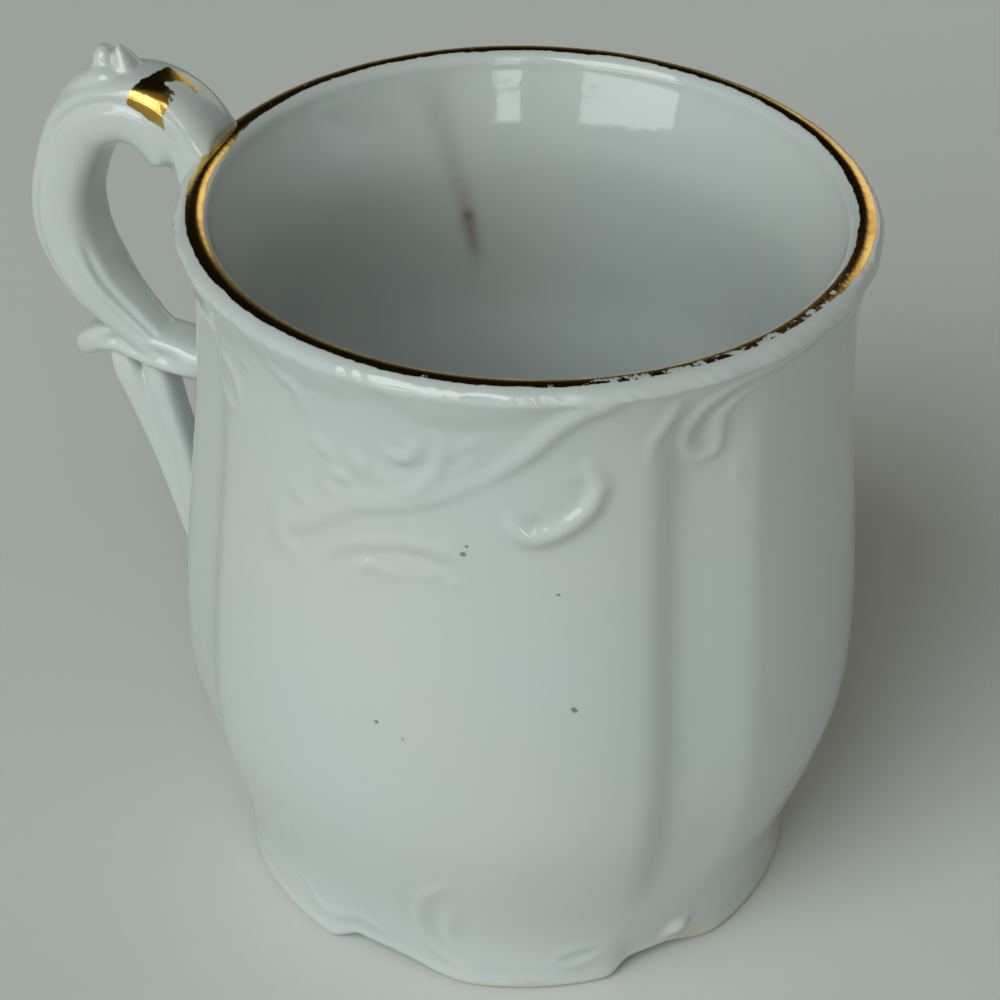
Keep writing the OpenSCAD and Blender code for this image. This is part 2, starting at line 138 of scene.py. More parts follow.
def grid_faces(rows, cols):
    """Faces of a grid that closes on itself along its rows."""
    i = np.arange(rows - 1)[:, None]
    j = np.arange(cols)[None, :]
    a = i * cols + j
    b = i * cols + (j + 1) % cols
    return np.stack([a, b, b + cols, a + cols], -1).reshape(-1, 4)


def cap_faces(rows, cols):
    """Fans that close both ends of such a grid on the two points that follow it."""
    j = np.arange(cols)
    k = (j + 1) % cols
    last = (rows - 1) * cols
    start = np.full(cols, rows * cols)
    return np.concatenate([np.stack([start, k, j], 1), np.stack([last + j, last + k, start + 1], 1)])


def new_mesh(name, points, quads, tris=None):
    """A smooth mesh from points in millimetres, quads and triangles."""
    tris = np.zeros((0, 3), int) if tris is None else np.asarray(tris)
    mesh = bpy.data.meshes.new(name)
    mesh.vertices.add(len(points))
    mesh.vertices.foreach_set("co", np.asarray(points, np.float32).ravel())
    corners = np.concatenate([np.asarray(quads).ravel(), tris.ravel()]).astype(np.int32)
    mesh.loops.add(len(corners))
    mesh.loops.foreach_set("vertex_index", corners)
    starts = np.concatenate([np.arange(len(quads)) * 4, len(quads) * 4 + np.arange(len(tris)) * 3])
    mesh.polygons.add(len(starts))
    mesh.polygons.foreach_set("loop_start", starts.astype(np.int32))
    mesh.update(calc_edges=True)
    mesh.validate()
    mesh.shade_smooth()
    return mesh


def place(name, mesh, material, slot, *nodes):
    """The mesh as a piece of the cup, in metres, standing for CAD nodes."""
    mesh.transform(Matrix.Scale(MM, 4))
    piece = bpy.data.objects.new(name, mesh)
    bpy.context.scene.collection.objects.link(piece)
    mesh.materials.append(material)
    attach(piece, "root")
    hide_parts(*nodes)


def point_values(mesh, name, values):
    """Lays a value on each point of the mesh, for its finish to read."""
    layer = mesh.attributes.new(name, "FLOAT", "POINT")
    layer.data.foreach_set("value", np.asarray(values, np.float32).ravel())


def point_vectors(mesh, name):
    """Places or normals of the mesh's points."""
    found = np.empty(len(mesh.vertices) * 3, np.float32)
    mesh.vertices.foreach_get(name, found)
    return found.reshape(-1, 3)


# Shader expressions

class Wire:
    """An output of a shader node that can stand in sums and products."""

    def __init__(self, finish, socket):
        self.finish = finish
        self.socket = socket

    def math(self, operation, first, second):
        return self.finish.node("ShaderNodeMath", {"operation": operation}, {0: first, 1: second})

    def __add__(self, other):
        return self.math("ADD", self, other)

    def __radd__(self, other):
        return self.math("ADD", other, self)

    def __sub__(self, other):
        return self.math("SUBTRACT", self, other)

    def __rsub__(self, other):
        return self.math("SUBTRACT", other, self)

    def __mul__(self, other):
        return self.math("MULTIPLY", self, other)

    def __rmul__(self, other):
        return self.math("MULTIPLY", other, self)

    def above(self, other):
        return self.math("MAXIMUM", self, other)

    def below(self, other):
        return self.math("MINIMUM", self, other)


class Finish:
    """The nodes of one material or of the world."""

    def __init__(self, owner):
        owner.use_nodes = True
        self.tree = owner.node_tree
        self.tree.nodes.clear()

    def node(self, kind, settings=None, sockets=None, out=0):
        made = self.tree.nodes.new(kind)
        for key, value in (settings or {}).items():
            setattr(made, key, value)
        for key, value in (sockets or {}).items():
            if isinstance(value, Wire):
                self.tree.links.new(value.socket, made.inputs[key])
            else:
                made.inputs[key].default_value = value
        return Wire(self, made.outputs[out]) if made.outputs else None

    def mix(self, share, first, second):
        """Colour that goes from first to second as share goes from 0 to 1."""
        return self.node("ShaderNodeMix", {"data_type": "RGBA"}, {0: share, 6: first, 7: second}, 2)

    def step(self, value, start, end):
        """Smooth step from 0 where value is start to 1 where it is end."""
        return self.node("ShaderNodeMapRange", {"interpolation_type": "SMOOTHSTEP"},
                         {0: value, 1: start, 2: end, 3: 0.0, 4: 1.0})

    def noise(self, where, scale, detail=2.0, roughness=0.5):
        return self.node("ShaderNodeTexNoise", None,
                         {"Vector": where, "Scale": scale, "Detail": detail, "Roughness": roughness})

    def where(self):
        """Place on the piece, in metres."""
        return self.node("ShaderNodeTexCoord", None, None, "Object")

    def axes(self, where):
        """The x, y and z of a place."""
        return [self.node("ShaderNodeSeparateXYZ", None, {0: where}, k) for k in range(3)]

    def painted(self, name):
        """Value laid on the points of the mesh under this name."""
        return self.node("ShaderNodeAttribute", {"attribute_name": name}, None, "Fac")

    def stretch(self, where, scale):
        return self.node("ShaderNodeVectorMath", {"operation": "MULTIPLY"}, {0: where, 1: scale})

    def gap(self, where, spot):
        """Distance from a spot given in millimetres, in metres."""
        spot = [k * MM for k in spot]
        return self.node("ShaderNodeVectorMath", {"operation": "DISTANCE"}, {0: where, 1: spot}, 1)

    def surface(self, **sockets):
        """Ends the material in one shader with these socket values."""
        names = {key.replace("_", " "): value for key, value in sockets.items()}
        shader = self.node("ShaderNodeBsdfPrincipled", None, names)
        self.node("ShaderNodeOutputMaterial", None, {0: shader})


def material(name):
    made = bpy.data.materials.new(name)
    return made, Finish(made)


GLAZE_COOL = (0.575, 0.62, 0.63, 1)
GLAZE_WARM = (0.605, 0.62, 0.61, 1)
# Colour of the relief's creases: the glaze pooled there is greener, and the creases are also darkened as
# painted shade
GLAZE_POOL_AND_SHADE = (0.44, 0.50, 0.495, 1)
BARE_CLAY = (0.58, 0.53, 0.42, 1)
STAIN = (0.20, 0.135, 0.06, 1)
SPECK = (0.10, 0.085, 0.06, 1)

# Specks in the glaze: angle round the cup, height and radius, in degrees and millimetres
SPECKS = [(-79.7, 48.2, 0.22), (-79.2, 48.9, 0.15), (-61.8, 34.4, 0.26), (-64.6, 44.9, 0.20),
          (-93.4, 31.4, 0.20), (-88.7, 30.4, 0.18), (97.0, 36.0, 0.22), (60.0, 24.0, 0.20)]

# Patches of the foot that the glaze left bare: angle, height and reach
BARE_PATCHES = [(-66.0, 0.7, 2.4), (-32.0, 1.2, 2.8), (114.0, 0.7, 2.4), (148.0, 1.2, 2.8)]

GLAZE_IOR = 1.62
CLOUD_SCALE = 45.0
GRAIN_SCALE = 700.0
STAIN_SCALE = 900.0
SPECK_SCALE = 2600.0
# Share of that crease colour: pooled glaze tint together with painted shade
POOL_AND_SHADE_TINT = 0.5
BARE_TINT = 0.7
SPECK_TINT = 0.75
# A bare patch is this much lower than it is wide, and its edge wanders this far, in metres
PATCH_SQUAT = 2.2
PATCH_RAGGED = 0.003


def highest(masks):
    """The highest of several masks at each place."""
    top = masks[0]
    for mask in masks[1:]:
        top = top.above(mask)
    return top


def glazed_porcelain():
    made, f = material("glazed_porcelain")
    where = f.where()
    z = f.axes(where)[2]
    cloud = f.noise(where, CLOUD_SCALE, 3.0)
    grain = f.noise(where, GRAIN_SCALE, 2.0)
    colour = f.mix(f.step(cloud, 0.3, 0.7), GLAZE_COOL, GLAZE_WARM)
    # The relief's creases take the pooled glaze's greener tint and painted shade that darkens them
    colour = f.mix(f.painted("pool_and_shade") * POOL_AND_SHADE_TINT, colour, GLAZE_POOL_AND_SHADE)
    blotch = 0.55 + 0.9 * f.noise(where, STAIN_SCALE, 4.0)
    colour = f.mix(f.painted("stain") * blotch, colour, STAIN)

    # Bare clay along the foot's edge and in its patches
    patches = [f.step(z, 0.0011, 0.0003) * f.step(grain + cloud, 0.85, 1.05)]
    squat = f.stretch(where, (1.0, 1.0, PATCH_SQUAT))
    for turn, height, reach in BARE_PATCHES:
        spot = polar(turn, FOOT_R, PATCH_SQUAT * height)
        gap = f.gap(squat, spot) - PATCH_RAGGED * (cloud + grain - 1)
        patches.append(f.step(gap, reach * MM, 0.4 * reach * MM))
    bare = highest(patches)
    colour = f.mix(bare * BARE_TINT, colour, BARE_CLAY)

    specks = []
    uneven = 2.4 * f.noise(where, SPECK_SCALE, 1.0) - 0.3
    for turn, height, radius in SPECKS:
        spot = polar(turn, float(wall_r(height)), height)
        specks.append(f.step(f.gap(where, spot) - radius * MM * uneven, 0.0001, -0.0001))
    colour = f.mix(highest(specks) * SPECK_TINT, colour, SPECK)

    bump = f.node("ShaderNodeBump", None, {"Strength": 0.05, "Distance": 0.0003, "Height": grain})
    f.surface(Base_Color=colour, Roughness=0.05 + 0.06 * cloud + 0.4 * bare, IOR=GLAZE_IOR, Normal=bump)
    return made


GOLD = (0.86, 0.57, 0.14, 1)
GOLD_DEEP = (0.60, 0.33, 0.08, 1)
# How far the gold stands over the glaze and reaches into it, in millimetres
GOLD_FILM = 0.03
GOLD_SEAT = 0.15


def burnished_gold(name, cover_of):
    """Gold that stays where its cover is 1 and has worn off, or was never laid, where that is 0."""
    made, f = material(name)
    where = f.where()
    cloud = f.noise(where, 260.0, 4.0, 0.6)
    brush = f.noise(f.stretch(where, (1.0, 1.0, 0.3)), 1500.0, 3.0)
    gold = f.mix(f.step(cloud, 0.35, 0.7), GOLD, GOLD_DEEP)
    cover = cover_of(f, where, 0.5 * (brush - 0.5) + (cloud - 0.5))
    bump = f.node("ShaderNodeBump", None, {"Strength": 0.12, "Distance": 0.0002, "Height": brush})
    f.surface(Base_Color=gold, Metallic=1.0, Roughness=0.1 + 0.12 * cloud, Alpha=cover, Normal=bump)
    return made


def lip_cover(f, where, ragged):
    """Cover of the lip's line: further out at the right and the back, rubbed at the front right."""
    x, y = f.axes(where)[:2]
    across = f.painted("across")
    side = f.step(x, 0.008, 0.022) * f.step(y, -0.008, 0.002)
    back = f.step(y, -0.004, 0.008) * (1 - side)
    rubbed = f.step(x, 0.009, 0.015) * f.step(y, 0.001, -0.006)
    outer_edge = across + 0.20 * ragged + 0.09 * side + 0.17 * back - 0.07 * rubbed
    inner_edge = across + 0.26 * ragged + 0.21 * back + 0.12 * side
    laid = f.step(outer_edge, 0.21, 0.25) * f.step(inner_edge, 0.83, 0.78)
    outer_half = f.step(across, 0.66, 0.46)
    worn = f.step(f.noise(where, 800.0, 4.0, 0.65) - 0.17 * rubbed * outer_half, 0.27, 0.33)
    return laid * worn


# Relief on the unrolled wall

def stroke(u, v, points, width, height, lean=0.0, tips=(0.3, 0.3)):
    """Rise of a modelled stroke at the places u, v: a rounded ridge along points that thins to its tips.
    A lean above 0 makes its left side steeper than its right."""
    points = np.asarray(points, float)
    length = np.linalg.norm(np.diff(points, axis=0), axis=1).sum()
    path = through(points, np.linspace(0, 1, max(24, int(length / 0.12))))
    rise = np.zeros_like(u)
    reach = width * (1 + abs(lean)) + 0.1
    low = path.min(0) - reach
    high = path.max(0) + reach
    near = (u > low[0]) & (u < high[0]) & (v > low[1]) & (v < high[1])
    if not near.any():
        return rise
    spots = np.stack([u[near], v[near]], 1)
    k = np.argmin(((spots[:, None, :] - path[None]) ** 2).sum(2), 1)
    along = np.gradient(path, axis=0)
    along /= np.linalg.norm(along, axis=1)[:, None]
    gap = spots - path[k]
    side = along[k, 0] * gap[:, 1] - along[k, 1] * gap[:, 0]
    ahead = np.maximum(0, np.abs((gap * along[k]).sum(1)) - 0.08)
    t = k / (len(path) - 1)
    full = np.minimum(1, (t + 0.02) / tips[0]) * np.minimum(1, (1.02 - t) / tips[1])
    size = width * (0.35 + 0.65 * np.sqrt(full))
    across = np.hypot(side / (size * np.where(side > 0, 1 - lean, 1 + lean)), ahead / size)
    rise[near] = height * (0.3 + 0.7 * full) * np.clip(1 - across**2, 0, None) ** 1.4
    return rise


def worked(u, v, strokes):
    """Rise of many strokes together; those with a negative height are cut in."""
    raised = np.zeros_like(u)
    cut = np.zeros_like(u)
    for s in strokes:
        if s[2] > 0:
            raised = np.maximum(raised, stroke(u, v, *s))
        else:
            cut = np.maximum(cut, stroke(u, v, s[0], s[1], -s[2], *s[3:]))
    return raised - cut


def tool_marks(u, v):
    """Small unevenness of the modelling round the shell and the leaves under the brow."""
    marks = np.sin(2.6 * u + 1.7 * np.sin(2.1 * v)) * np.sin(2.3 * v + 1.4 * np.sin(1.8 * u))
    return 0.05 * marks * np.exp(-(((u + 2) / 6.5) ** 2) - ((v - 12.5) / 5) ** 4)


def soften(field, times):
    """Evens out a field of the wall, both round the cup and up it."""
    for _ in range(times):
        field = even_out(field, 1)
        inner = (field[:-2] + 2 * field[1:-1] + field[2:]) / 4
        field = np.concatenate([field[:1], inner, field[-1:]])
    return field


# Panel: millimetres along the neck from the panel's middle, and below the top of the lip.
# Each stroke has its points, half width, height, lean and tips
PANEL = [
    # long wave, a ridge on the right and the edge of a frond on the left
    ([(15.7, 1.7), (13.7, 2.2), (11.7, 3.7), (9.7, 6.0), (7.6, 7.8), (6.0, 9.0)],
     1.05, 0.38, -0.5, (0.12, 0.45)),
    ([(7.4, 8.2), (4.4, 9.9), (2.1, 11.1), (-1.3, 12.4), (-3.8, 13.3), (-6.4, 15.1), (-8.4, 16.6),
      (-10.6, 17.9), (-10.2, 18.7), (-8.3, 19.7)], 1.4, 0.24, -0.6, (0.2, 0.2)),
    # volute, with a hole in its eye
    ([(13.8, 7.1), (14.6, 8.8), (14.5, 9.8), (13.8, 11.2), (12.2, 12.6), (10.9, 13.2), (9.8, 13.4),
      (8.7, 12.7), (8.2, 11.8)], 1.05, 0.60, 0.1, (0.35, 0.25)),
    ([(10.6, 8.6), (12.5, 8.2), (13.8, 7.5)], 0.5, 0.08, 0.0, (0.4, 0.3)),
    ([(9.9, 11.9), (10.5, 12.4)], 0.6, -0.16, 0.0, (0.4, 0.4)),
    # curl and the fan beside it
    ([(2.3, 4.6), (3.0, 5.9), (2.9, 7.3), (2.1, 8.9), (0.8, 10.4), (-1.6, 11.3)],
     0.8, 0.34, 0.2, (0.3, 0.25)),
    ([(2.1, 7.0), (1.5, 7.9), (0.1, 8.6), (-1.1, 8.4)], 0.45, -0.18, 0.0, (0.4, 0.4)),
    ([(0.4, 6.0), (1.0, 6.3), (0.5, 7.5), (-0.6, 7.6), (-1.5, 6.8)], 0.7, 0.32, 0.0, (0.3, 0.3)),
    ([(3.7, 6.9), (4.8, 5.6), (6.3, 4.9)], 0.6, 0.15, 0.0, (0.5, 0.4)),
    ([(3.0, 9.1), (4.3, 7.9), (5.9, 6.0)], 0.6, 0.15, 0.0, (0.5, 0.4)),
    ([(-2.3, 9.4), (-1.4, 9.9), (-0.9, 9.5)], 0.6, 0.20, 0.0, (0.4, 0.4)),
    # shell
    ([(-3.9, 8.4), (-3.2, 10.4)], 0.8, 0.32, 0.1, (0.4, 0.3)),
    ([(-6.2, 11.2), (-5.1, 10.9), (-4.2, 11.1)], 0.7, 0.28, 0.1, (0.4, 0.3)),
    ([(-6.6, 12.0), (-5.1, 13.3)], 0.75, 0.26, 0.1, (0.4, 0.3)),
    ([(-10.0, 13.7), (-8.7, 14.5), (-7.0, 14.6), (-4.8, 13.4)], 0.75, 0.26, 0.1, (0.4, 0.3)),
    ([(-7.8, 8.5), (-6.7, 9.1), (-5.9, 9.6)], 0.7, 0.21, 0.1, (0.4, 0.3)),
    # brow and the leaves under it
    ([(-7.2, 19.0), (-5.3, 17.2), (-2.8, 15.9), (0.1, 15.1), (2.4, 15.1), (4.3, 15.5), (5.3, 16.7)],
     0.8, 0.17, -0.3, (0.3, 0.3)),
    ([(-6.6, 19.3), (-4.9, 17.9), (-2.6, 16.8), (0.1, 16.1), (2.3, 16.1), (4.0, 16.5)],
     0.6, -0.12, 0.0, (0.3, 0.3)),
    ([(-4.2, 18.7), (-2.0, 17.7)], 0.7, 0.26, 0.0, (0.4, 0.4)),
    ([(-1.6, 17.9), (0.0, 18.2)], 0.65, 0.23, 0.0, (0.4, 0.4)),
    ([(1.7, 17.9), (2.9, 17.3)], 0.65, 0.23, 0.0, (0.4, 0.4)),
    ([(3.4, 18.0), (4.7, 17.9)], 0.6, 0.16, 0.0, (0.4, 0.4)),
    ([(-4.7, 19.9), (-2.7, 19.5)], 0.6, 0.14, 0.0, (0.4, 0.4)),
    # small curls by the lip
    ([(-11.7, 3.3), (-10.6, 4.0), (-9.1, 4.4), (-8.6, 5.9), (-8.3, 6.9)], 0.7, 0.24, 0.2, (0.4, 0.4)),
    ([(-15.3, 4.9), (-14.5, 5.7)], 0.6, 0.15, 0.0, (0.4, 0.4)),
    # hook round a slot at the top of the right flute, and the flute's corner
    ([(32.1, 1.7), (29.1, 1.9), (25.6, 2.1), (23.5, 2.9), (22.3, 4.1), (21.7, 5.7), (21.7, 7.2), (22.5, 8.5),
      (23.6, 8.9), (24.6, 8.4), (24.6, 6.8), (24.6, 5.0), (25.8, 3.6), (27.4, 3.2)],
     0.7, 0.30, 0.0, (0.2, 0.25)),
    ([(23.1, 7.3), (23.2, 5.4), (24.2, 3.9), (26.0, 2.9)], 0.5, -0.22, 0.0, (0.3, 0.4)),
    ([(18.8, 7.6), (18.8, 5.9), (19.4, 4.7), (20.0, 3.4), (20.3, 2.2)], 0.85, 0.26, 0.0, (0.45, 0.3)),
    ([(26.5, 9.6), (26.6, 12.8)], 0.6, 0.12, 0.0, (0.5, 0.5)),
    # leaf at the top of the left flute
    ([(-22.2, 6.5), (-21.5, 8.2), (-20.3, 9.5), (-18.6, 10.3), (-16.6, 10.7)], 0.7, 0.26, 0.0, (0.4, 0.4)),
    ([(-22.2, 6.5), (-19.6, 6.3), (-17.5, 7.0), (-16.5, 8.6), (-16.6, 10.7)], 0.7, 0.26, 0.0, (0.4, 0.4)),
]

# Foot: millimetres along the neck's round from the middle of the front lobe, and above the table
FOOT = [
    # double hook with a groove between
    ([(-2.9, 14.3), (-4.2, 13.6), (-5.4, 11.9), (-6.2, 9.6), (-6.4, 6.7), (-5.6, 4.2),
      (-3.8, 2.8), (-1.1, 1.9)], 0.7, 0.30, 0.1, (0.3, 0.3)),
    ([(-2.8, 10.5), (-3.7, 8.2), (-3.7, 5.9), (-2.5, 4.3), (-0.8, 3.1)], 0.6, 0.26, 0.0, (0.35, 0.35)),
    ([(-3.9, 11.8), (-4.9, 9.0), (-5.1, 6.6), (-4.2, 4.4), (-2.6, 3.2)], 0.4, -0.15, 0.0, (0.3, 0.3)),
    # hollow comma
    ([(5.6, 3.4), (6.9, 4.4), (8.9, 4.8), (11.4, 4.5)], 0.55, 0.26, 0.0, (0.4, 0.4)),
    ([(5.5, 3.2), (6.7, 2.5), (8.9, 2.9), (11.5, 4.2)], 0.55, 0.26, 0.0, (0.4, 0.4)),
    ([(6.6, 3.4), (8.6, 3.8), (10.2, 4.1)], 0.5, -0.18, 0.0, (0.3, 0.4)),
    # bead by the notch
    ([(17.5, 2.8), (18.6, 3.4), (19.8, 4.1)], 1.05, 0.85, 0.0, (0.4, 0.35)),
    # hook and ridge of the lobe beside it
    ([(-19.4, 15.1), (-19.4, 12.8), (-21.4, 8.5), (-25.7, 3.1)], 0.75, 0.24, 0.1, (0.35, 0.3)),
    ([(-20.9, 5.3), (-19.4, 4.5), (-18.2, 3.3), (-15.7, 3.4), (-12.8, 4.6), (-10.4, 3.4)], 0.7, 0.20, 0.0,
     (0.25, 0.25)),
]

# Lower edge of the lip's roll: millimetres along the panel and below the top of the lip
ROLL_EDGE = [
    (-42, 2.2), (-32, 2.6), (-24, 3.0), (-16.3, 3.7), (-12.6, 2.8), (-7.3, 3.5), (-5.3, 3.8),
    (-4.0, 3.3), (-2.2, 2.4), (0.4, 3.0), (2.3, 4.2), (5.5, 3.4), (7.6, 3.3), (8.8, 2.6),
    (11.2, 1.9), (15.7, 1.3), (20.0, 1.5), (28.0, 1.6), (35.0, 1.9), (42, 2.2),
]
ROLL_RISE = 0.16
ROLL_WAVER = 0.05
EDGE_WAVER = 0.45
LUMP_RISE = 0.034

COLS = 720
PHI = -180 + 360 * np.arange(COLS) / COLS
# Half turn symmetry: every angle brought to the front half
HALF = -180 + (PHI + 180) % 180
PANEL_U = np.radians(HALF + 90) * NECK_R
FOOT_U = np.radians(HALF + 75) * NECK_R


def wall_r(z):
    """Radius of the plain outer wall at a height."""
    z = np.asarray(z, float)
    flare = NECK_R + (LIP_R - NECK_R) * ((z - NECK_Z) / (LIP_Z - NECK_Z)) ** 2
    upper = BELLY_R + (NECK_R - BELLY_R) * ease((z - BELLY_Z) / (NECK_Z - BELLY_Z))
    up = np.clip((z - WAIST_Z) / (BELLY_Z - WAIST_Z), 0, 1)
    lower = WAIST_R + (BELLY_R - WAIST_R) * (1 - (1 - up**WAIST_EASE) ** BELLY_FULLNESS)
    return np.where(z >= NECK_Z, flare, np.where(z >= BELLY_Z, upper, lower))


def inner_r(z):
    """Radius of the inner wall at a height."""
    span = np.where(z > MOUTH_Z, MOUTH_SPAN, THROAT_SPAN)
    return wall_r(z) - WALL - MOUTH_EXTRA * hump(z, MOUTH_Z, span)


def flute_cut():
    """Depth share of the flutes at each angle.
    A flute is a hollow near the panel that rises to a soft edge away from it."""
    deepest = 0.32
    cut = np.zeros(COLS)
    for turn, way in ((-FLUTE_TURN, 1), (FLUTE_TURN, -1), (180 - FLUTE_TURN, 1), (FLUTE_TURN - 180, -1)):
        s = (way * wrap(PHI - turn) * 2 / FLUTE_W + 1) / 2
        rise = 1 - np.clip((s - deepest) / (1 - deepest), 0, 1) ** 1.6
        hollow = np.where(s < deepest, ease(s / deepest), rise)
        cut += np.where((s > 0) & (s < 1), hollow, 0) - 0.08 * hump(s, 1.03, 0.07)
    return even_out(cut, 18)


def flute_run(z):
    """Share of a flute's depth at a height: it fades out over the foot and under the lip."""
    return ease((z - WAIST_Z - 2) / FLUTE_FADE) * ease((LIP_Z - z) / NECK_DROP)


def notch_share(phi):
    """Share of a notch's draw and lift at an angle.
    It is steep before the notch and soft after it, and no two of three notches are alike."""
    t = (phi - NOTCH_TURN) * LOBES / 360
    soft = np.choose(np.floor(t).astype(int) % 3, (0.42, 0.46, 0.36))
    t = t - np.floor(t)
    steep = 1 - NOTCH_STEEP
    fall = 1 - ease((t - NOTCH_FLAT) / (soft - NOTCH_FLAT))
    return even_out(np.where(t > steep, ease((t - steep) / NOTCH_STEEP), fall), 12)


EDGE_R = FOOT_R - NOTCH_IN * notch_share(PHI)
EDGE_LIFT = NOTCH_LIFT * notch_share(PHI)
TURN = np.radians(PHI)
# Swell of the lip's roll, its lumps and its edge, uneven as on a hand-finished cast
ROLL = ROLL_RISE + ROLL_WAVER * np.sin(24 * TURN + 1.3 * np.sin(10 * TURN))
DRIFT = 2.4 * np.sin(26 * TURN)
LUMP_TURN = 78 * TURN + DRIFT
EDGE_SHIFT = EDGE_WAVER * np.sin(64 * TURN + DRIFT)


def foot_roll(height):
    """Rise of the rolled edge of the foot, and of the groove over it, at a height above that edge."""
    return 0.12 * (1 - ease((height - 1.1) / 0.7)) - 0.05 * hump(height, 1.95, 0.4)


def lip_roll(u, drop):
    """Rise of the lip's roll over the wall, with the crease under its uneven lower edge."""
    edge = np.interp(u, [k[0] for k in ROLL_EDGE], [k[1] for k in ROLL_EDGE]) + EDGE_SHIFT
    crease = 0.06 * hump(drop - edge, 0.2, 0.45)
    return ROLL[None, :] * (1 - ease((drop - edge + 0.9) / 1.0)) - crease


def lip_lumps(drop):
    """Small lumps of the lip's roll, fading down the wall."""
    below = drop - LIP_ROUND
    return LUMP_RISE * np.sin(LUMP_TURN - 3 * below) * hump(below, 0, 1.3)


def roll_at(b):
    """Swell and lumps of the lip at an angle of its rounded top, 0 outside and a right angle on the crest."""
    return (ROLL + LUMP_RISE * np.sin(LUMP_TURN + 4 * b)) * max(0.0, math.cos(b)) ** 1.5


# Brown run of an old drink down the inner wall: height, angle, strength and half width
STAIN_RUN = [
    (43.4, 120.4, 0.0, 0.6), (44.6, 120.7, 0.4, 0.7), (46.6, 121.7, 0.5, 0.7),
    (48.7, 122.8, 0.85, 0.7), (50.2, 123.6, 0.34, 0.7), (53.8, 126.0, 0.2, 1.0),
    (58.4, 128.6, 0.22, 1.4), (61.4, 130.0, 0.16, 1.7), (62.4, 130.5, 0.1, 1.7),
]


def stain_run(r, z):
    """Strength of the brown run at places of the inner wall."""
    heights, turns, strengths, widths = np.array(STAIN_RUN).T
    off = np.radians(wrap(PHI[None, :] - np.interp(z, heights, turns))) * r
    return np.interp(z, heights, strengths) * hump(off, 0, np.interp(z, heights, widths))


# The foot's relief ends at FOOT_TOP and the panel's starts at PANEL_LOW; the plain belly has fewer rows
FOOT_TOP = 18.0
PANEL_LOW = 41.5
FOOT_ROWS = 69
BELLY_ROWS = 22
PANEL_ROWS = 96
LIP_GAP = 0.3
# The roll of the lip reaches no lower than ROLL_DROP, and that of the foot no higher than FOOT_ROLL_TOP
ROLL_DROP = 8.0
FOOT_ROLL_TOP = 6.0
FOOT_FLARE = 1.4
# Rows in which the foot melts into the wall, and how often these are evened out
MELT_ROWS = 67
MELT_TIMES = 140


def outer_wall():
    """Heights, plain radii and relief of the rows from the foot's edge up to the lip."""
    heights = np.concatenate([np.linspace(0, FOOT_TOP, FOOT_ROWS)[:-1],
                              np.linspace(FOOT_TOP, PANEL_LOW, BELLY_ROWS)[:-1],
                              np.linspace(PANEL_LOW, LIP_Z - LIP_GAP - FOOT_ROUND, PANEL_ROWS)])
    share = heights[:, None] / heights[-1]
    foot_edge = EDGE_LIFT + FOOT_ROUND
    z = foot_edge[None, :] * (1 - share) + FOOT_ROUND * share + heights[:, None]
    flare = np.clip((WAIST_Z - z) / (WAIST_Z - FOOT_ROUND), 0, 1) ** FOOT_FLARE
    plain = np.where(z < WAIST_Z, WAIST_R + (EDGE_R - WAIST_R) * flare, wall_r(z))
    # The foot runs into the wall without a crease
    low = plain[:MELT_ROWS]
    for _ in range(MELT_TIMES):
        low[1:-1] = (low[:-2] + 2 * low[1:-1] + low[2:]) / 4

    drop = CUP_H - z
    panel_u = np.broadcast_to(PANEL_U, z.shape)
    foot_u = np.broadcast_to(FOOT_U, z.shape)
    relief = worked(panel_u, drop, PANEL) + tool_marks(panel_u, drop) + worked(foot_u, z, FOOT)
    relief += soften(np.where(drop < ROLL_DROP, lip_roll(panel_u, drop), 0), 8) + lip_lumps(drop)
    relief += np.where(z < FOOT_ROLL_TOP, foot_roll(z - EDGE_LIFT[None, :]), 0)
    relief -= FLUTE_DEPTH * flute_cut()[None, :] * flute_run(z)
    return z, plain, soften(relief, 4)


BASE_FILLET = 1.0
INNER_EDGE = 0.5
INSIDE_MID = 44.0
# Crease depth at which the pooled glaze tint and the painted shade reach their full share
POOL_AND_SHADE_DEPTH = 0.16
LIP_STEPS = [0, 8, 16, 24, 32, 40, 48, 56, 64, 74, 85, 102, 119, 136, 153, 168, 180]


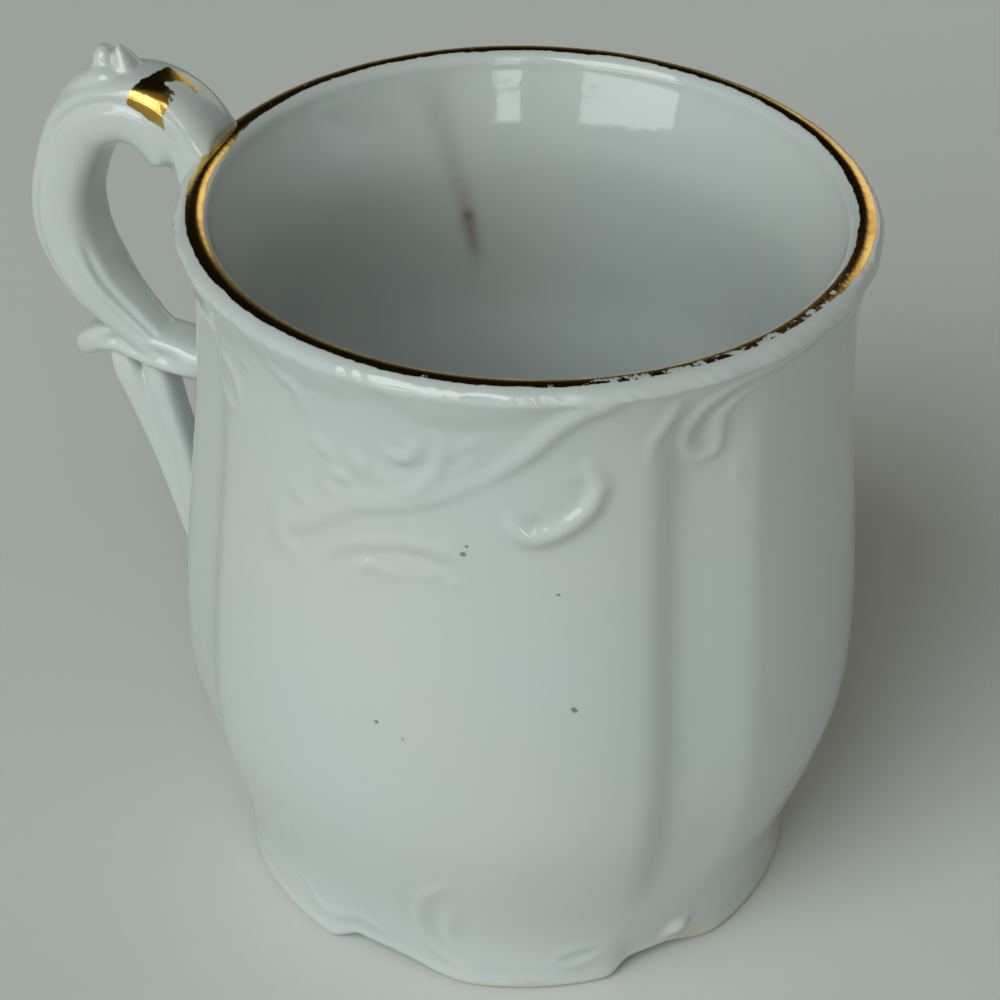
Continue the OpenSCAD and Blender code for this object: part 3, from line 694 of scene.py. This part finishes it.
def casting():
    """Body, foot and relief as one skin.
    Rows run from under the foot up the wall, over the lip and down inside."""
    rows = []

    def row(r, z):
        rows.append((np.broadcast_to(r, COLS), np.broadcast_to(z, COLS)))

    # Domed base, inner side of the foot and its standing edge
    for t in np.linspace(0.12, 1, 8):
        row((FOOT_IN_R - BASE_FILLET) * t, WAIST_Z + BASE_DOME * (1 - t**2))
    for b in np.radians([25, 50, 75, 90]):
        row(FOOT_IN_R - BASE_FILLET * (1 - math.sin(b)), WAIST_Z - BASE_FILLET * (1 - math.cos(b)))
    for t in (0.4, 0.8, 1.0):
        row(FOOT_IN_R, (WAIST_Z - BASE_FILLET) * (1 - t) + (EDGE_LIFT + INNER_EDGE) * t)
    for b in np.radians([30, 60, 90]):
        row(FOOT_IN_R + INNER_EDGE * (1 - math.cos(b)), EDGE_LIFT + INNER_EDGE * (1 - math.sin(b)))
    for t in (0.35, 0.7):
        row(FOOT_IN_R + INNER_EDGE + (EDGE_R - FOOT_ROUND - FOOT_IN_R - INNER_EDGE) * t, EDGE_LIFT)
    for b in np.radians([0, 18, 36, 54, 72]):
        swing = FOOT_ROUND + foot_roll(0) * math.sin(b)
        row(EDGE_R - FOOT_ROUND + swing * math.sin(b), EDGE_LIFT + FOOT_ROUND * (1 - math.cos(b)))

    outside = len(rows)
    wall_z, plain, relief = outer_wall()
    for k in range(len(relief)):
        row(plain[k] + relief[k], wall_z[k])
    for b in np.radians(LIP_STEPS):
        row(LIP_R - LIP_T / 2 + LIP_T / 2 * math.cos(b) + roll_at(b), LIP_Z + LIP_ROUND * math.sin(b))

    # Inner wall, the floor's round corner and the floor
    inside = len(rows)
    upper = np.linspace(LIP_Z, INSIDE_MID, 20)[1:]
    lower = np.linspace(INSIDE_MID, FLOOR_Z + FLOOR_ROUND, 10)[1:]
    for height in (*upper, *lower):
        row(np.minimum(LIP_R - LIP_T, inner_r(height)), height)
    for b in np.radians(np.linspace(0, 90, 15)[1:]):
        height = FLOOR_Z + FLOOR_ROUND * (1 - math.sin(b))
        row(inner_r(height) - FLOOR_ROUND * (1 - math.cos(b)), height)
    for t in (0.7, 0.4, 0.15):
        row((float(wall_r(FLOOR_Z)) - WALL - FLOOR_ROUND) * t, FLOOR_Z)

    r = np.array([k[0] for k in rows])
    z = np.array([k[1] for k in rows])
    points = np.stack([r * np.cos(TURN), r * np.sin(TURN), z], -1).reshape(-1, 3)
    points = np.concatenate([points, [[0, 0, WAIST_Z + BASE_DOME], [0, 0, FLOOR_Z]]])
    mesh = new_mesh("cup_casting", points, grid_faces(len(rows), COLS), cap_faces(len(rows), COLS))

    # How deep each point lies in a crease of the relief: the glaze pools greener there, and painted shade
    # darkens the colour there
    pool_and_shade = np.zeros(r.shape)
    pool_and_shade[outside:outside + len(relief)] = np.clip((soften(relief, 14) - relief) / POOL_AND_SHADE_DEPTH, 0, 1)
    point_values(mesh, "pool_and_shade", np.append(pool_and_shade, [0, 0]))
    stain = np.zeros(r.shape)
    stain[inside:] = stain_run(r[inside:], z[inside:])
    point_values(mesh, "stain", np.append(stain, [0, 0]))
    return mesh


# Gold line on the lip

def lip_gold():
    """A thin film over the crest of the lip, with each point's place across it from the outside."""
    turns = np.radians(np.linspace(45, 150, 18))
    across = np.linspace(0, 1, len(turns))
    radii = []
    heights = []
    for up, order in ((GOLD_FILM, turns), (-GOLD_SEAT, turns[::-1])):
        for b in order:
            radii.append(LIP_R - LIP_T / 2 + (LIP_T / 2 + up) * math.cos(b) + roll_at(b))
            heights.append(np.full(COLS, LIP_Z + (LIP_ROUND + up) * math.sin(b)))
    r = np.array(radii)
    points = np.stack([r * np.cos(TURN), r * np.sin(TURN), np.array(heights)], -1)
    # The ring of rows closes on itself
    quads = grid_faces(len(radii) + 1, COLS) % (len(radii) * COLS)
    mesh = new_mesh("lip_gold", points.reshape(-1, 3), quads)
    point_values(mesh, "across", np.repeat(np.concatenate([across, across[::-1]]), COLS))
    return mesh


# Handle

def bulge(x):
    """Rounds a section out towards a rectangle."""
    return np.sign(x) * np.abs(x) ** SECTION_ROUND


def loop_knot(reach, height, thick, wide):
    """Knot of the loop, by its share of the handle's reach and of the height from knuckle to crown."""
    return (-LIP_R - reach * HANDLE_REACH, KNUCKLE_Z + height * (CROWN_Z - KNUCKLE_Z), thick, wide)


LOOP = [
    (-float(wall_r(ROOT_Z)), ROOT_Z, ROOT_H, STRAP_W),
    loop_knot(0.19, 0.93, ROOT_H, STRAP_W),
    loop_knot(0.46, 1, ROOT_H - 0.8, STRAP_W),
    loop_knot(0.765, 0.91, STRAP_T + 0.5, STRAP_W),
    loop_knot(0.945, 0.65, STRAP_T, STRAP_W - 0.4),
    loop_knot(0.96, 0.43, STRAP_T, STRAP_W - 0.4),
    loop_knot(0.82, 0.23, STRAP_T - 0.6, STRAP_W - 0.5),
    loop_knot(0.6, 0.075, STRAP_T - 1.6, STRAP_W - 2.0),
    loop_knot(0.3, -0.07, STRAP_T - 2.6, STRAP_W - 3.0),
    (-float(wall_r(KNUCKLE_Z)), KNUCKLE_Z - 2.4, STRAP_T - 2.9, STRAP_W - 3),
]


def line(t, start, end, fade):
    """1 between start and end, fading to 0 outside them."""
    return ease((t - start + fade) / fade) * ease((end + fade - t) / fade)


def sweep(knots, steps, sides, carve=None):
    """Closed skin round a line in the handle's plane; knots are (x, z, thickness, width)."""
    t = np.linspace(0, 1, steps)
    c = through(knots, t)
    ahead = np.gradient(c[:, :2], axis=0)
    ahead /= np.linalg.norm(ahead, axis=1)[:, None]
    out = np.stack([ahead[:, 1], -ahead[:, 0]], 1)
    b = np.linspace(0, 2 * math.pi, sides, endpoint=False)
    # Angle from the outward side of the section: 90 at both flanks, 180 on the inner side
    turn = np.degrees(np.abs(np.arctan2(np.cos(b), np.sin(b))))
    up = np.zeros((steps, sides)) if carve is None else carve(t[:, None], turn[None, :])
    n = (c[:, 2:3] / 2 + up) * bulge(np.sin(b))[None, :]
    y = (c[:, 3:4] / 2 + up) * bulge(np.cos(b))[None, :]
    x = c[:, 0:1] + out[:, 0:1] * n
    z = c[:, 1:2] + out[:, 1:2] * n
    # Nothing reaches through the cup's wall
    reach = np.where(z < LIP_Z, wall_r(np.minimum(z, LIP_Z)), LIP_R) - 1.2
    x = np.minimum(x, -np.sqrt(np.maximum(reach**2 - y**2, 1)))
    points = np.stack([x, y, z], -1).reshape(-1, 3)
    ends = [[c[0, 0], 0, c[0, 1]], [c[-1, 0], 0, c[-1, 1]]]
    return np.concatenate([points, ends]), grid_faces(steps, sides), cap_faces(steps, sides)


def loop_carving(t, turn):
    """Grooves and ribs of the loop: a strip along its inside, ridges on its lower part, flared joints."""
    seam = np.interp(t, [0, 0.06, 0.1, 0.2, 0.36, 0.5], [118, 104, 84, 74, 70, 84])
    cut = -0.45 * hump(turn, seam, 9.0) * line(t, 0.065, 0.34, 0.12)
    strip_end = -1.2 * ease((turn - seam + 4) / 10) * (1 - ease((t - 0.066) / 0.024))
    ridges = -0.3 * line(t, 0.66, 0.93, 0.12) * (hump(turn, 98, 8.0) + hump(turn, 136, 9.0))
    flank = -0.22 * hump(turn, 62, 9.0) * line(t, 0.42, 0.62, 0.1)
    joint = 0.9 * np.clip(1 - t / 0.05, 0, 1) ** 2 * (turn < 100)
    return cut + strip_end + ridges + flank + joint


def leaf_carving(t, turn):
    """Hollow along both flanks of the knuckle's leaf."""
    return -0.75 * hump(turn, 92, 24.0) * line(t, 0.42, 0.66, 0.16)


# Other forms of the handle, as knots of x, z, thickness and width
KNUCKLE_LEAF = [
    (-41.6, 40.1, 1.1, 1.6), (-40.9, 40.7, 2.2, 2.6), (-39.6, 41.7, 2.6, 3.4),
    (-37.6, 42.5, 2.9, 4.2), (-35.6, 42.5, 3.4, 5.0), (-33.2, 42.2, 3.6, 5.4),
    (-31.0, 42.0, 3.5, 5.4), (-28.9, 41.8, 3.1, 5.0), (-27.0, 41.6, 2.6, 4.2),
]
TAIL_OUTER = [
    (-37.6, 41.2, 1.8, 2.8), (-36.8, 39.2, 2.6, 3.4), (-35.7, 36.8, 2.7, 3.4),
    (-34.5, 33.6, 2.5, 3.2), (-33.3, 30.0, 2.3, 3.0), (-32.3, 26.4, 2.1, 2.8),
    (-31.3, 22.6, 1.8, 2.5), (-30.1, 19.2, 1.3, 2.1), (-28.9, 16.4, 0.7, 1.4),
    (-28.2, 15.2, 0.3, 0.6),
]
TAIL_INNER = [
    (-34.9, 41.8, 1.6, 2.8), (-33.9, 39.2, 2.4, 3.4), (-33.1, 36.0, 2.4, 3.4),
    (-32.2, 32.8, 2.2, 3.2), (-31.3, 28.8, 2.0, 2.9), (-30.5, 25.0, 1.8, 2.6),
    (-29.8, 21.4, 1.5, 2.2), (-29.0, 18.0, 1.0, 1.7), (-28.2, 15.8, 0.5, 0.9),
]
THUMB_NUB = [
    (-36.6, 66.8, 1.9, 2.8), (-36.9, 68.4, 1.9, 2.6), (-37.05, 69.5, 1.5, 2.0),
    (-37.1, 70.1, 0.6, 0.8),
]
THUMB_TIP = [
    (-34.4, 66.6, 3.0, 3.6), (-35.0, 68.4, 2.0, 2.8), (-35.5, 69.7, 1.0, 1.5),
    (-35.7, 70.4, 0.3, 0.5),
]
CROWN_MOUND = [
    (-33.8, 66.2, 3.4, 4.4), (-36.3, 66.9, 4.0, 5.0), (-38.2, 65.8, 4.0, 5.0),
    (-39.8, 64.1, 3.4, 4.8), (-41.2, 62.1, 2.2, 4.0),
]

# Each form with its steps along, its sides round and its carving
HANDLE_FORMS = [
    (LOOP, 260, 72, loop_carving),
    (KNUCKLE_LEAF, 60, 40, leaf_carving),
    (TAIL_OUTER, 90, 32),
    (TAIL_INNER, 90, 32),
    (THUMB_NUB, 24, 24),
    (THUMB_TIP, 24, 24),
    (CROWN_MOUND, 30, 32),
]

VOXEL = 0.17
MELT_STEPS = 9


def joined(name, skins):
    """One skin round all of these, as slip joins them."""
    points = []
    quads = []
    tris = []
    count = 0
    for p, q, t in skins:
        points.append(p)
        quads.append(q + count)
        tris.append(t + count)
        count += len(p)
    rough = new_mesh(name + "_rough", np.concatenate(points), np.concatenate(quads), np.concatenate(tris))
    holder = bpy.data.objects.new(name + "_rough", rough)
    bpy.context.scene.collection.objects.link(holder)
    skin = holder.modifiers.new("skin", "REMESH")
    skin.mode = "VOXEL"
    skin.voxel_size = VOXEL
    melt = holder.modifiers.new("melt", "SMOOTH")
    melt.factor = 0.5
    melt.iterations = MELT_STEPS
    bpy.context.view_layer.update()
    shown = holder.evaluated_get(bpy.context.evaluated_depsgraph_get())
    mesh = bpy.data.meshes.new_from_object(shown)
    mesh.name = name
    bpy.data.objects.remove(holder)
    bpy.data.meshes.remove(rough)
    mesh.shade_smooth()
    return mesh


def handle():
    return joined("handle", [sweep(*form) for form in HANDLE_FORMS])


def handle_gold(mesh):
    """A thin film over part of the crown, cut from the handle's own skin."""
    co = point_vectors(mesh, "co")
    normal = point_vectors(mesh, "normal")
    faces = np.array([p.vertices[:] for p in mesh.polygons if len(p.vertices) == 4])
    middle = co[faces].mean(1)
    facing = normal[faces].mean(1)
    x, y, z = middle.T
    kept = ((x - 0.33 * y > -32.9) & (x - 0.4 * y < -27.6) & (z > 64.2) & (y < 2.2)
            & ((facing[:, 2] > -0.1) | (facing[:, 1] < -0.5)))
    faces = faces[kept]
    used, flat = np.unique(faces, return_inverse=True)
    faces = flat.reshape(faces.shape)
    top = co[used] + normal[used] * GOLD_FILM
    base = co[used] - normal[used] * GOLD_SEAT
    m = len(used)
    edges = np.concatenate([faces[:, [0, 1]], faces[:, [1, 2]], faces[:, [2, 3]], faces[:, [3, 0]]])
    known = set(map(tuple, edges))
    rim = np.array([e for e in map(tuple, edges) if (e[1], e[0]) not in known])
    sides = np.stack([rim[:, 1], rim[:, 0], rim[:, 0] + m, rim[:, 1] + m], 1)
    quads = np.concatenate([faces, faces[:, ::-1] + m, sides])
    return new_mesh("handle_gold", np.concatenate([top, base]), quads)


def dab_cover(f, where, ragged):
    """Cover of the dab of gold on the crown: its four edges, and a rubbed place near the root."""
    x, y, z = f.axes(where)
    ragged = 0.0012 * ragged
    left = f.step(x - 0.33 * y + ragged, -0.03235, -0.03215)
    streak = f.step(z + ragged, 0.0680, 0.0684)
    right = f.step(x - 0.4 * y + ragged - 0.0008 * streak, -0.0289, -0.0291)
    low = f.step(z + 0.58 * x.below(-0.0302) + ragged, 0.0475, 0.0477)
    far = f.step(y + 0.3 * (x + 0.0323) + ragged, 0.0017, 0.0015)
    rubbed = f.step(f.gap(where, (-29.6, -1.2, 68.3)), 0.0024, 0.0010)
    worn = f.step(f.noise(where, 460.0, 3.0, 0.6) - 0.30 * rubbed, 0.27, 0.32)
    return left * right * low * far * worn


# Pieces

porcelain = glazed_porcelain()
place("cup_casting", casting(), porcelain, "porcelain", "cup_body", "foot", "front_scrolls", "front_shell",
      "back_scrolls", "back_shell", "flute_hooks", "flute_leaves", "foot_scrolls", "foot_beads")
place("lip_gold", lip_gold(), burnished_gold("lip_gold", lip_cover), "gilding", "lip_gilding")
handle_skin = handle()
dab = handle_gold(handle_skin)
place("handle", handle_skin, porcelain, "porcelain", "handle_loop", "handle_tail", "knuckle_leaf",
      "thumb_rest")
place("handle_gold", dab, burnished_gold("handle_gold", dab_cover), "gilding", "handle_gilding")

# Floor

CLOTH = (0.72, 0.72, 0.715, 1)
CLOTH_DEEP = (0.685, 0.685, 0.68, 1)


def pale_cloth():
    made, f = material("pale_cloth")
    where = f.where()
    weave = f.noise(f.stretch(where, (1.0, 0.45, 1.0)), 2600.0, 2.0)
    cloud = f.noise(where, 9.0, 2.0)
    colour = f.mix(0.6 * weave + 0.4 * cloud, CLOTH_DEEP, CLOTH)
    f.surface(Base_Color=colour, Roughness=0.85 + 0.1 * weave)
    return made


REACH = 6.0
floor_corners = [(-REACH, -REACH, 0), (REACH, -REACH, 0), (REACH, REACH, 0), (-REACH, REACH, 0)]
floor_mesh = bpy.data.meshes.new("floor")
floor_mesh.from_pydata(floor_corners, [], [(0, 1, 2, 3)])
floor_mesh.materials.append(pale_cloth())
floor = bpy.data.objects.new("floor", floor_mesh)
bpy.context.scene.collection.objects.link(floor)

# Camera: turned 20 degrees to the right of the panel's middle, looking down on the cup

VIEW_TURN = math.radians(20)
VIEW_DIP = math.radians(35.77)
VIEW_ROLL = math.radians(0.89)
VIEW_FROM = (0.06227, -0.17670, 0.16903)
SENSOR = 36.0
LENS = 97.2
NEAREST = 0.01
right = Vector((math.cos(VIEW_TURN), math.sin(VIEW_TURN), 0))
away = Vector((-math.sin(VIEW_TURN), math.cos(VIEW_TURN), 0))
up = Vector((0, 0, 1))
level_up = away * math.sin(VIEW_DIP) + up * math.cos(VIEW_DIP)
cam_x = right * math.cos(VIEW_ROLL) + level_up * math.sin(VIEW_ROLL)
cam_y = level_up * math.cos(VIEW_ROLL) - right * math.sin(VIEW_ROLL)
cam_z = cam_x.cross(cam_y)
camera_data = bpy.data.cameras.new("camera")
camera_data.sensor_width = SENSOR
camera_data.lens = LENS
camera_data.clip_start = NEAREST
camera = bpy.data.objects.new("camera", camera_data)
turn = Matrix((cam_x, cam_y, cam_z)).transposed().to_4x4()
camera.matrix_world = Matrix.Translation(VIEW_FROM) @ turn
bpy.context.scene.collection.objects.link(camera)
bpy.context.scene.camera = camera

# Light: a tall window at the left in front, in four panes, and a dim room

DAYLIGHT = (0.88, 1.0, 0.965)
WINDOW_AWAY = 8.0


def window_pane(name, turn_deg, rise_deg, width, height, glow):
    """A pane of light far off, at this many degrees right of the camera and above the table."""
    a = math.radians(turn_deg)
    e = math.radians(rise_deg)
    way = (right * math.sin(a) - away * math.cos(a)) * math.cos(e) + up * math.sin(e)
    data = bpy.data.lights.new(name, "AREA")
    data.shape = "RECTANGLE"
    data.size = width
    data.size_y = height
    data.energy = glow * math.pi * width * height
    data.color = DAYLIGHT
    lamp = bpy.data.objects.new(name, data)
    lamp.location = way * WINDOW_AWAY
    lamp.rotation_euler = way.to_track_quat("Z", "Y").to_euler()
    lamp.visible_camera = False
    bpy.context.scene.collection.objects.link(lamp)


window_pane("upper_wide", -37, 42, 5.1, 6.1, 3.7)
window_pane("upper_narrow", 8, 42, 1.3, 6.1, 1.9)
window_pane("lower_wide", -37, 6.5, 5.1, 1.6, 2.6)
window_pane("lower_narrow", 8, 8, 1.3, 1.2, 3.2)

ROOM_TINT = (1.0, 0.95, 0.78, 1)
ROOM_GLOW = 0.095
FRONT_GLOW = 0.17
DOORWAY_GLOW = 0.95
DARK_SHARE = 0.94

world = bpy.data.worlds.new("room")
bpy.context.scene.world = world
room = Finish(world)
look = room.node("ShaderNodeTexCoord", None, None, "Generated")
wx, wy, wz = room.axes(look)


def toward(turn_deg, rise_deg):
    """How nearly a look into the room goes this many degrees right of the back and above the table."""
    a = math.radians(turn_deg)
    e = math.radians(rise_deg)
    way = (away * math.cos(a) + right * math.sin(a)) * math.cos(e) + up * math.sin(e)
    return wx * way.x + wy * way.y + wz * way.z


front = room.step(toward(-145, 15), -0.1, 0.95)
# The far side of the room lies in the dark up to the left, with a doorway at the right
dark = room.step(toward(-32, 52), 0.68, 0.84)
doorway = room.step(toward(28, 18), 0.935, 0.98)
glow = (ROOM_GLOW + FRONT_GLOW * front) * (1 - DARK_SHARE * dark) + DOORWAY_GLOW * doorway
shade = room.node("ShaderNodeBackground", None, {0: ROOM_TINT, 1: glow})
room.node("ShaderNodeOutputWorld", None, {0: shade})

bpy.context.scene.view_settings.view_transform = "Standard"
